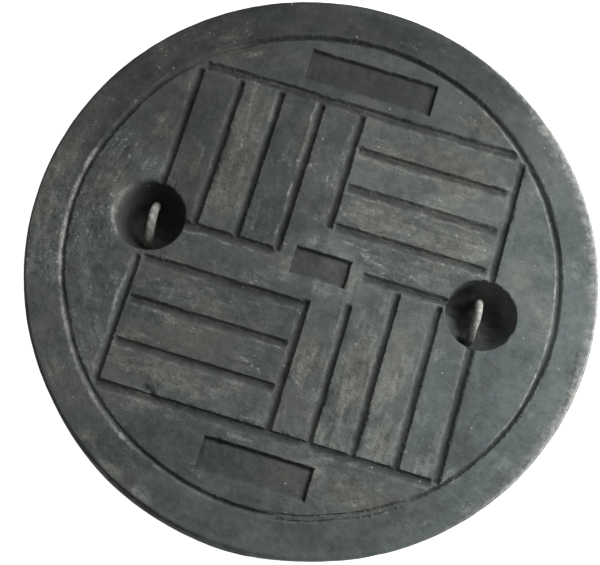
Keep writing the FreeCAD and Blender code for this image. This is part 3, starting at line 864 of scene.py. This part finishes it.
def tread_points(sizes, edge, pockets):
    """All the points of the tread face: the edge, the mouths, then along the features, then the field."""
    field = PointField(sizes.pocket_across + 150.0)
    free = edge - 1.6

    def allowed(points):
        open_face = np.hypot(points[:, 0], points[:, 1]) < free
        for pocket in pockets:
            open_face &= np.hypot(points[:, 0] - pocket, points[:, 1]) > sizes.pocket_radius + 0.9
        return open_face

    def everywhere(points):
        return np.ones(len(points), dtype=bool)

    field.add(ring_points((0.0, 0.0), edge, EDGE_COUNT), 1.5, everywhere)
    for pocket in pockets:
        field.add(ring_points((pocket, 0.0), sizes.pocket_radius, MOUTH_COUNT), 0.7, everywhere)
    for pocket in pockets:
        for step in MOUTH_ROWS:
            field.add(ring_points((pocket, 0.0), sizes.pocket_radius + step, MOUTH_COUNT), 0.9, allowed)
    for offset in RING_ROWS:
        field.add(ring_points(sizes.ring_shift, sizes.ring_radius + offset, RING_COUNT), 0.8, allowed)
    for row in strip_points(sizes):
        field.add(row, 0.8, allowed)
    for low, high, _ in PANELS:
        for inset in PANEL_ROWS:
            xs = np.arange(low[0] + inset, high[0] - inset, 2.0)
            ys = np.arange(low[1] + inset, high[1] - inset, 2.0)
            sides = []
            for level in (low[1] + inset, high[1] - inset):
                sides.append(np.stack([xs, np.full_like(xs, level)], axis=1))
            for level in (low[0] + inset, high[0] - inset):
                sides.append(np.stack([np.full_like(ys, level), ys], axis=1))
            for side in sides:
                field.add(side + np.array(sizes.pattern_shift), 0.8, allowed)
    gap = sizes.point_gap
    columns = np.arange(-edge, edge, gap)
    rows = np.arange(-edge, edge, gap * math.sqrt(3.0) / 2.0)
    grid_x, grid_y = np.meshgrid(columns, rows)
    grid_x = grid_x + 0.5 * gap * (np.arange(len(rows)) % 2)[:, None]
    shake = np.random.default_rng(5).uniform(-0.22, 0.22, (2,) + grid_x.shape) * gap
    field.add(np.stack([(grid_x + shake[0]).ravel(), (grid_y + shake[1]).ravel()], axis=1), 0.0, allowed)
    return np.concatenate(field.groups)


class MeshMaker:
    """Gathers points, faces and point values for one piece."""

    def __init__(self):
        self.points = []
        self.faces = []
        self.count = 0

    def add_points(self, points):
        """Add points, and give their numbers."""
        points = np.asarray(points, dtype=float)
        self.points.append(points)
        numbers = np.arange(self.count, self.count + len(points))
        self.count += len(points)
        return numbers

    def add_triangles(self, triangles):
        self.faces.append(np.asarray(triangles, dtype=int).reshape(-1, 3))

    def bridge(self, first, second):
        """Join two closed rings that have as many points as each other."""
        first_next = np.roll(first, -1)
        second_next = np.roll(second, -1)
        self.add_triangles(np.stack([first, second, second_next], axis=1))
        self.add_triangles(np.stack([first, second_next, first_next], axis=1))

    def fan(self, ring, middle):
        """Close a ring with one middle point."""
        self.add_triangles(np.stack([ring, np.full(len(ring), middle), np.roll(ring, -1)], axis=1))

    def build(self, name, values):
        """The finished object, in metres."""
        points = np.concatenate(self.points)
        mesh = bpy.data.meshes.new(name)
        mesh.from_pydata((points * MM).tolist(), [], np.concatenate(self.faces).tolist())
        for key, numbers in values.items():
            layer = mesh.attributes.new(key, "FLOAT", "POINT")
            layer.data.foreach_set("value", np.asarray(numbers, dtype=np.float32))
        mesh.shade_smooth()
        mesh.set_sharp_from_angle(angle=SMOOTH_ANGLE)
        piece = bpy.data.objects.new(name, mesh)
        bpy.context.scene.collection.objects.link(piece)
        return piece


def rim_profile(sizes, reach):
    """Rows from the tread face over the rounded rim, down the leaning side and under the foot."""
    rounding = sizes.rim_round
    lean = math.atan2(sizes.side_draft, TOP)
    middle = reach - rounding
    rows = []
    for turn in np.linspace(0.0, 0.5 * math.pi + lean, 9)[1:]:
        arris = math.sin(2.0 * min(turn, 0.5 * math.pi))
        rows.append((middle + rounding * math.sin(turn), TOP - rounding * (1.0 - math.cos(turn)), arris))
    start_r, start_z, _ = rows[-1]
    foot = sizes.foot_chamfer
    end_r = start_r - (start_z - foot) * math.tan(lean)
    for part in np.linspace(0.0, 1.0, 12)[1:]:
        rows.append((start_r + (end_r - start_r) * part, start_z + (foot - start_z) * part, 0.0))
    rows.append((end_r - 0.5 * foot - 0.4, 0.5 * foot - 0.3, 0.0))
    rows.append((end_r - foot - 0.7, 0.0, 0.0))
    for inner in UNDERSIDE_ROWS:
        rows.append((inner, 0.0, 0.0))
    return rows


def cast_cover(sizes):
    """The cover as one closed mesh, with what its material reads at each point."""
    casting = Casting(sizes)
    maker = MeshMaker()
    low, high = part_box("concrete_cover")
    reach = 0.5 * (high[0] - low[0]) / MM
    edge = reach - sizes.rim_round
    pockets = (-sizes.pocket_across, sizes.pocket_across)
    flat = tread_points(sizes, edge, pockets)
    triangles = lay_triangles(flat, pockets, sizes.pocket_radius)
    x, y = flat[:, 0], flat[:, 1]
    values = casting.finish(x, y)
    maker.add_points(np.stack([x, y, casting.height(x, y)], axis=1))
    maker.add_triangles(triangles)
    parts = {key: [numbers] for key, numbers in values.items()}
    add_rim(maker, casting, parts, np.arange(EDGE_COUNT), rim_profile(sizes, reach))
    for number, pocket in enumerate(pockets):
        first = EDGE_COUNT + number * MOUTH_COUNT
        add_bowl(maker, casting, parts, np.arange(first, first + MOUTH_COUNT), pocket)
    return maker.build("cover_concrete", {key: np.concatenate(group) for key, group in parts.items()})


def lay_triangles(flat, pockets, pocket_radius):
    """Triangles between the points of the tread face, leaving the pockets open."""
    result = delaunay_2d_cdt([Vector(point) for point in flat.tolist()], [], [], 0, 1e-7, True)
    corners, _, faces, origins = result[:4]
    if len(corners) != len(flat):
        raise RuntimeError("points of the tread face fell together")
    numbers = np.array([origin[0] for origin in origins])
    triangles = numbers[np.array(faces)]
    middles = flat[triangles].mean(axis=1)
    keep = np.ones(len(triangles), dtype=bool)
    for pocket in pockets:
        keep &= np.hypot(middles[:, 0] - pocket, middles[:, 1]) > pocket_radius - 0.35
    triangles = triangles[keep]
    first, second, third = (flat[triangles[:, corner]] for corner in range(3))
    turn = (second[:, 0] - first[:, 0]) * (third[:, 1] - first[:, 1])
    turn -= (second[:, 1] - first[:, 1]) * (third[:, 0] - first[:, 0])
    triangles[turn < 0.0] = triangles[turn < 0.0][:, ::-1]
    return triangles


def note(parts, values):
    """Keep the finish values of one more row of points."""
    for key, group in parts.items():
        group.append(values[key])


def add_rim(maker, casting, parts, ring, profile):
    """The rounded and chipped rim, the side, the foot and the underside."""
    count = len(ring)
    angles = np.arange(count) * (2.0 * math.pi / count)
    degrees = np.degrees(angles)
    degrees = np.where(degrees > 180.0, degrees - 360.0, degrees)
    worn = stretch(degrees, -62.0, -20.0, 62.0, 84.0)
    shaded_arris = stretch(degrees, -172.0, -150.0, -110.0, -84.0)
    low_edge = stretch(degrees, -140.0, -116.0, -92.0, -70.0)
    level = maker.points[0][:count, 2] - TOP
    previous = ring
    for number, (radius, height, arris) in enumerate(profile):
        arc = angles * RIM_RADIUS
        flat = np.full(count, 3.0 * height + 11.0 * number)
        rough = casting.small.cloud(arc, flat, 11.0, 3)
        crumble = casting.small.cloud(arc + 500.0, np.full(count, 1.7 * number), 5.0, 2)
        chips = np.clip(0.8 * crumble + 0.6 * casting.broad.line(arc, 0.0, 17.0) - 0.25, 0.0, 1.0)
        chips = chips * (0.2 + 1.8 * worn) * arris
        inward = 0.3 * rough + chips + 0.8 * worn * arris
        over = height > 0.5
        spread = radius - (inward if over else 0.0)
        below = TOP - height
        spread = spread + SIDE_SWELL * low_edge * stretch(below, 0.5, 8.0, 12.0, 50.0)
        fade = max(0.0, (height - TOP + 12.0) / 12.0)
        z = height + level * fade - (0.8 * chips if over else 0.0)
        z = z + (0.12 * rough if not over else 0.0)
        x = spread * np.cos(angles)
        y = spread * np.sin(angles)
        row = maker.add_points(np.stack([x, y, np.maximum(z, 0.0)], axis=1))
        seen = min(radius, 299.0) if height > TOP - 4.5 else 288.0
        values = casting.finish(seen * np.cos(angles), seen * np.sin(angles) + 0.7 * (TOP - height))
        # Painted shade on the lower-left arris and the side just under it, which face away from the light
        stained = 0.9 * shaded_arris * arris + 0.6 * low_edge * (1.0 - ease(below, 6.0, 30.0)) * (below > 3.0)
        values["grime_and_shade"] = np.clip(values["grime_and_shade"] + stained, 0.0, 1.0)
        # Pale arris on the side facing the light: partly rubbed wear, partly a painted highlight
        rubbed_and_lit_rim = (0.30 + 1.1 * worn) * arris * (0.7 + 0.5 * rough)
        values["dust_and_highlight"] = np.clip(values["dust_and_highlight"] + rubbed_and_lit_rim, 0.0, 1.7)
        note(parts, values)
        maker.bridge(previous, row)
        previous = row
    middle = maker.add_points([[0.0, 0.0, 0.0]])
    note(parts, {key: [numbers[0]] for key, numbers in values.items()})
    maker.fan(previous, middle[0])


def bowl_profile(sizes):
    """Rows down a pocket's leaning wall and round its bowl, and how far down the bowl starts."""
    lean = WALL_LEAN
    bowl = sizes.bowl_radius
    bowl_top = sizes.pocket_depth - bowl * (1.0 - math.sin(lean))
    bowl_edge = sizes.pocket_radius - bowl_top * math.tan(lean)
    centre = bowl_edge - bowl * math.cos(lean)
    rows = []
    for part in np.linspace(0.0, 1.0, 7)[1:]:
        rows.append((sizes.pocket_radius - part * bowl_top * math.tan(lean), part * bowl_top))
    for turn in np.linspace(lean, 0.5 * math.pi, 13)[1:]:
        rows.append((centre + bowl * math.cos(turn), bowl_top + bowl * (math.sin(turn) - math.sin(lean))))
    rows.append((3.0, sizes.pocket_depth + 0.2))
    return rows, bowl_top


def add_bowl(maker, casting, parts, ring, pocket):
    """The wall and bowl of a lifting pocket, below its mouth, with painted light and shade laid on them."""
    sizes = casting.sizes
    count = len(ring)
    angles = np.arange(count) * (2.0 * math.pi / count)
    profile, bowl_top = bowl_profile(sizes)
    left_pocket = pocket < 0.0
    right_pocket = not left_pocket
    slope = (0.5 + 0.5 * np.cos(angles - math.radians(184.0))) * left_pocket
    far = ease(np.cos(angles - math.radians(205.0)), -0.6, 0.8) * right_pocket
    painted_lit_patch = ease(np.cos(angles - math.radians(212.0)), 0.86, 0.95)
    upper = ease(np.cos(angles - math.radians(146.0)), 0.6, 0.95) * right_pocket
    mouth = maker.points[0][ring, 2]
    previous = ring
    for number, (radius, down) in enumerate(profile, 1):
        around = np.full(count, down + 60.0 * right_pocket)
        rough = casting.small.cloud(angles * 24.0, around, 8.0, 3)
        ledge = WALL_LEDGE * slope ** 3 * stretch(down, 0.0, 13.0, 26.0, 40.0)
        spread = radius - ledge + 0.4 * rough * min(1.0, 0.1 * number) * min(1.0, radius / 12.0)
        z = np.minimum(TOP - down + 0.5 * rough * (down > bowl_top), mouth - 0.3 * number)
        x = pocket + spread * np.cos(angles)
        y = spread * np.sin(angles)
        row = maker.add_points(np.stack([x, y, z], axis=1))
        maker.bridge(ring_order(previous), ring_order(row))
        # Painted light in the left pocket: the upper wall on the side facing the light is painted pale as a
        # highlight, and the rest painted dark as shade
        lit = slope ** 5 * (1.0 - ease(down, 1.5, 9.0))
        dim = slope ** 4 * (1.0 - ease(down, 5.0, 26.0))
        # Painted shade in the right pocket, darkest toward the left and deep down, lifted again on a small
        # painted lit patch
        unlit = far * (0.88 * ease(down, 3.0, 28.0) + 0.12 * ease(down, 38.5, 41.0))
        unlit = np.maximum(unlit, 0.97 * upper * ease(down, 4.0, 26.0))
        unlit = np.maximum(unlit, 0.55 * ease(down, 22.0, 38.0))
        unlit = unlit * (1.0 - 0.9 * painted_lit_patch * stretch(down, 10.0, 20.0, 37.0, 40.0))
        values = {
            "tone_and_light": (0.95 if left_pocket else 1.25 - 1.15 * unlit) + 0.2 * rough,
            "warmth": np.full(count, 0.7 if left_pocket else 0.4),
            "dust_and_highlight": 0.95 * lit,
            "grime_and_shade": (0.84 - 0.50 * dim) * (1.0 - lit) if left_pocket else np.full(count, 0.05),
            "rubbed": np.full(count, 0.3),
            "across": np.full(count, down),
            "along": angles * 30.0,
        }
        note(parts, values)
        previous = row
    middle = maker.add_points([[pocket, 0.0, TOP - sizes.pocket_depth - 0.2]])
    note(parts, {key: [numbers[0]] for key, numbers in values.items()})
    maker.fan(ring_order(previous), middle[0])


def ring_order(ring):
    """The same ring run the other way, for a wall that faces its own axis."""
    return ring[::-1]


def sweep(maker, path, radii, sides):
    """A round bar along a path, closed at both ends: gives how far each point faces to +X, which the hooks
    use as painted side light.
    """
    path = np.asarray(path, dtype=float)
    along = np.gradient(path, axis=0)
    along /= np.linalg.norm(along, axis=1)[:, None]
    across = np.array([1.0, 0.0, 0.0])
    turns = np.arange(sides) * (2.0 * math.pi / sides)
    rings = []
    for point, direction, radius in zip(path, along, radii):
        side = across - direction * np.dot(across, direction)
        side /= np.linalg.norm(side)
        across = side
        other = np.cross(direction, side)
        circle = np.cos(turns)[:, None] * side + np.sin(turns)[:, None] * other
        rings.append(maker.add_points(point + circle * np.asarray(radius).reshape(-1, 1)))
    for first, second in zip(rings, rings[1:]):
        maker.bridge(second, first)
    start = maker.add_points([path[0]])
    end = maker.add_points([path[-1]])
    maker.fan(rings[0], start[0])
    maker.fan(rings[-1][::-1], end[0])
    return np.concatenate([np.tile(np.cos(turns), len(rings)), [0.0, 0.0]])


def hook_places(sizes):
    """The middle line of a hook in its own plane: one leg, the arch and the other leg."""
    arch_level = sizes.crown_level - sizes.arch_radius
    legs = np.linspace(sizes.anchor_level, arch_level, 9)[:-1]
    places = [(-sizes.arch_radius, level) for level in legs]
    for bend in np.linspace(math.pi, 0.0, 33):
        places.append((sizes.arch_radius * math.cos(bend), arch_level + sizes.arch_radius * math.sin(bend)))
    return places + [(sizes.arch_radius, level) for level in legs[::-1]]


def bend_hook(name, sizes, across, turn, lean, seed):
    """A bent bar: an arch on two legs over a cross bar, a little uneven as hand-bent bar is."""
    maker = MeshMaker()
    noise = Noise(seed)
    places = hook_places(sizes)
    path = []
    for number, (along, level) in enumerate(places):
        bow = 0.35 * float(noise.line(np.array([2.0 * number]), 0.0, 13.0)[0])
        out = (level - sizes.anchor_level) * math.tan(lean) + bow
        x = across + out * math.cos(turn) - along * math.sin(turn)
        y = sizes.set_back + out * math.sin(turn) + along * math.cos(turn)
        path.append((x, y, level))
    sides = BAR_SIDES
    around = np.arange(sides) * 1.3
    radii = [sizes.bar_radius * (1.0 + 0.06 * noise.cloud(around, np.full(sides, 1.6 * number), 4.0, 2))
             for number in range(len(path))]
    painted_hook_light = sweep(maker, path, radii, sides)
    half = 0.5 * sizes.anchor_length
    bar = [(across - along * math.sin(turn), sizes.set_back + along * math.cos(turn), sizes.anchor_level)
           for along in np.linspace(-half, half, 15)]
    painted_bar_light = sweep(maker, bar, [np.full(sides, sizes.bar_radius)] * len(bar), sides)
    # Painted light on the hooks: the side facing the light is brighter and the far side darker, and along the
    # arch one end is brighter than the other
    shade = 0.35 * np.repeat([along / sizes.arch_radius for along, _ in places], sides)
    if across > 0.0:
        painted_hook_light[:len(shade)] += 3.0 * shade
    else:
        painted_hook_light[:len(shade)] = 0.45 - 0.5 * painted_hook_light[:len(shade)] + 1.6 * shade
    return maker.build(name, {"painted_side_light": np.concatenate([painted_hook_light, painted_bar_light])})


def concrete_material(colours):
    """Worn cement skin under smeared, rubbed films, with dust and painted highlights on it, and dirt and
    painted shade in the grooves, along shaded edges and in the pockets.
    """
    finish = Finish("worn_concrete")
    names = ("tone_and_light", "warmth", "dust_and_highlight", "grime_and_shade", "rubbed")
    tone_and_light, warmth, dust_and_highlight, grime_and_shade, rubbed = (finish.attribute(name) for name in names)
    blotch = finish.noise(17.0, 5.0, 0.62).between(0.34, 0.66)
    patch = finish.noise(52.0, 7.0, 0.70, finish.moved((3.0, 1.0, 0.0))).between(0.40, 0.60)
    mottle = finish.noise(135.0, 4.0, 0.66).between(0.30, 0.70)
    grit = finish.noise(430.0, 3.0, 0.65).between(0.25, 0.75)
    film = (finish.streaks(34.0, 19.0, 7.0, 0.0) + (rubbed - 0.5) * 0.38).between(0.43, 0.57)
    wisp = finish.streaks(95.0, 24.0, 6.0, 11.0).between(0.42, 0.58)
    smear = finish.streaks(160.0, 13.0, 5.0, 3.0).between(0.46, 0.60)
    earthy = (warmth + (blotch - 0.5) * 0.35 + (film - rubbed) * 0.12).between(0.10, 0.80)
    skin = finish.mix(earthy, colours.cool_grey, colours.warm_grey)
    shade = 1.0 + (blotch - 0.5) * 0.30 + (patch - 0.5) * 0.18 + (mottle - 0.5) * (0.10 + 0.20 * film)
    shade = shade + (film - rubbed) * 0.24 + (wisp - 0.5) * (0.06 + 0.18 * film) + (smear - 0.4) * film * 0.22
    shade = shade + (grit - 0.5) * (0.10 + 0.16 * film)
    stain = finish.noise(120.0, 4.0, 0.7, finish.moved((0.0, 7.0, 2.0))).between(0.58, 0.68)
    skin = finish.mix(1.0, skin, tone_and_light * shade * (1.0 - 0.25 * stain), "MULTIPLY")
    fleck = finish.noise(300.0, 3.0, 0.62, finish.moved((5.0, 0.0, 4.0))).between(0.585, 0.66)
    scuff = fleck * (0.04 + 0.18 * patch + 0.85 * film * wisp) + smear * film * patch * 0.22
    pale = dust_and_highlight * (0.10 + 0.5 * grit + 0.8 * mottle) + scuff
    skin = finish.mix(pale.between(0.02, 1.1), skin, colours.dust_and_highlight)
    skin = finish.mix(pale.between(0.75, 1.8), skin, colours.speck)
    # The grime colour lays dirt and painted shade alike
    skin = finish.mix(grime_and_shade * (0.75 + 0.3 * mottle), skin, colours.grime_and_shade)
    pick = finish.node("ShaderNodeSeparateColor", None, {"Color": finish.grains(140.0, "Color")})
    speck = (1.0 - finish.grains(140.0).between(0.08, 0.17)) * pick.between(0.955, 0.965)
    skin = finish.mix(speck * 0.85, skin, colours.speck)
    hole = (1.0 - finish.grains(120.0).between(0.08, 0.15)) * finish.noise(31.0).between(0.60, 0.66)
    skin = finish.mix(hole * 0.6, skin, colours.grime_and_shade)
    relief = grit * (0.35 + 0.5 * film) + mottle * 0.5 + film * 0.5 - hole * 1.5
    normal = finish.bump(relief, 0.6, 0.0008)
    roughness = 0.70 + 0.16 * grit + 0.1 * dust_and_highlight
    return finish.close(Base_Color=skin, Roughness=roughness, Normal=normal, Specular_IOR_Level=0.35)


def hook_material(colours):
    """Dull bar under a thin film of dried cement."""
    finish = Finish("cement_filmed_bar")
    patches = finish.noise(190.0, 4.0, 0.65)
    grain = finish.noise(700.0, 3.0, 0.65)
    pits = finish.noise(380.0, 3.0, 0.6)
    covered = (patches + (grain - 0.5) * 0.7).between(0.36, 0.66)
    film = finish.mix(covered, colours.bare_steel, colours.cement_film)
    film = finish.mix(pits.between(0.58, 0.72) * 0.6, film, colours.rust)
    film = finish.mix(grain.between(0.60, 0.74) * 0.5, film, colours.crust)
    # Painted side light from the bar's points darkens or brightens the film
    painted_side_light = finish.attribute("painted_side_light")
    film = finish.mix(1.0, film, 0.38 + 1.22 * painted_side_light.between(-0.5, 1.0), "MULTIPLY")
    normal = finish.bump(grain * 0.5 + pits * 0.7 + covered * 0.3, 0.8, 0.0008)
    roughness = 0.55 + 0.25 * patches
    return finish.close(Base_Color=film, Roughness=roughness, Normal=normal, Specular_IOR_Level=0.4)


def floor_material(settings):
    """A pale studio floor."""
    finish = Finish("pale_floor")
    grain = finish.noise(3.0, 3.0, 0.5)
    pale = finish.mix(grain * 0.03, settings.floor_colour, (0.86, 0.86, 0.86))
    return finish.close(Base_Color=pale, Roughness=0.9, Emission_Color=(1.0, 1.0, 1.0, 1.0),
                        Emission_Strength=settings.floor_glow)


def dress(piece, node, material):
    """Put a finished piece in a solid's place."""
    piece.data.materials.append(material)
    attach(piece, "root")
    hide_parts(node)


class COVER_OT_cast(bpy.types.Operator):
    """Cast the concrete with its worn tread face"""

    bl_idname = "cover.cast"
    bl_label = "Cast the concrete"

    def execute(self, context):
        piece = cast_cover(Millimetres(context.scene.cover_sizes))
        dress(piece, "concrete_cover", concrete_material(context.scene.cover_finish))
        return {"FINISHED"}


class COVER_OT_hooks(bpy.types.Operator):
    """Bend the two lifting hooks and set them in their pockets"""

    bl_idname = "cover.hooks"
    bl_label = "Bend the hooks"

    def execute(self, context):
        group = context.scene.hook_sizes
        sizes = Millimetres(group)
        across = context.scene.cover_sizes.pocket_across / MM
        material = hook_material(context.scene.hook_finish)
        left = bend_hook("hook_bar_left", sizes, -across, group.left_turn, group.left_lean, 61)
        right = bend_hook("hook_bar_right", sizes, across, 0.0, group.right_lean, 67)
        dress(left, "lifting_hook_left", material)
        dress(right, "lifting_hook_right", material)
        return {"FINISHED"}


class COVER_OT_stage(bpy.types.Operator):
    """Set the camera, the soft light and the pale floor"""

    bl_idname = "cover.stage"
    bl_label = "Set the stage"

    def execute(self, context):
        scene = context.scene
        settings = scene.stage_settings
        scene.view_settings.view_transform = "Standard"
        self.add_camera(scene, settings)
        self.add_light(scene, "key", settings.key_place, settings.key_size, settings.key_power)
        self.add_light(scene, "top", settings.top_place, settings.top_size, settings.top_power)
        self.add_floor(scene, settings)
        world = bpy.data.worlds.new("soft_fill")
        world.use_nodes = True
        world.node_tree.nodes["Background"].inputs["Color"].default_value = (1.0, 1.0, 1.0, 1.0)
        world.node_tree.nodes["Background"].inputs["Strength"].default_value = settings.fill
        scene.world = world
        return {"FINISHED"}

    def add_camera(self, scene, settings):
        camera = bpy.data.objects.new("camera", bpy.data.cameras.new("camera"))
        camera.location = settings.camera_place
        camera.rotation_euler = settings.camera_turn
        camera.data.sensor_width = 36.0
        camera.data.lens = settings.lens
        scene.collection.objects.link(camera)
        scene.camera = camera

    def add_light(self, scene, name, place, size, power):
        light = bpy.data.lights.new(name, "AREA")
        light.energy = power
        light.size = size
        lamp = bpy.data.objects.new(name, light)
        lamp.location = place
        aim = Vector((0.0, 0.0, TOP * MM)) - Vector(place)
        lamp.rotation_euler = aim.to_track_quat("-Z", "Y").to_euler()
        scene.collection.objects.link(lamp)

    def add_floor(self, scene, settings):
        half = 4.0
        mesh = bpy.data.meshes.new("floor")
        mesh.from_pydata([(-half, -half, 0.0), (half, -half, 0.0), (half, half, 0.0), (-half, half, 0.0)],
                         [], [(0, 1, 2, 3)])
        mesh.materials.append(floor_material(settings))
        floor = bpy.data.objects.new("floor", mesh)
        floor.location.z = -0.0005
        scene.collection.objects.link(floor)


class COVER_PT_panel(bpy.types.Panel):
    """The steps that make the cover"""

    bl_label = "Manhole cover"
    bl_idname = "COVER_PT_panel"
    bl_space_type = "VIEW_3D"
    bl_region_type = "UI"
    bl_category = "Cover"

    def draw(self, context):
        for operator in OPERATORS:
            self.layout.operator(operator.bl_idname)


GROUPS = {
    "cover_sizes": CoverSizes,
    "cover_finish": CoverFinish,
    "hook_sizes": HookSizes,
    "hook_finish": HookFinish,
    "stage_settings": StageSettings,
}
OPERATORS = (COVER_OT_cast, COVER_OT_hooks, COVER_OT_stage)


def register():
    for group in GROUPS.values():
        bpy.utils.register_class(group)
    for name, group in GROUPS.items():
        setattr(bpy.types.Scene, name, bpy.props.PointerProperty(type=group))
    for operator in OPERATORS:
        bpy.utils.register_class(operator)
    bpy.utils.register_class(COVER_PT_panel)


def unregister():
    bpy.utils.unregister_class(COVER_PT_panel)
    for operator in reversed(OPERATORS):
        bpy.utils.unregister_class(operator)
    for name, group in reversed(GROUPS.items()):
        delattr(bpy.types.Scene, name)
        bpy.utils.unregister_class(group)


def main():
    register()
    bpy.ops.cover.cast()
    bpy.ops.cover.hooks()
    bpy.ops.cover.stage()


if __name__ == "__main__":
    main()
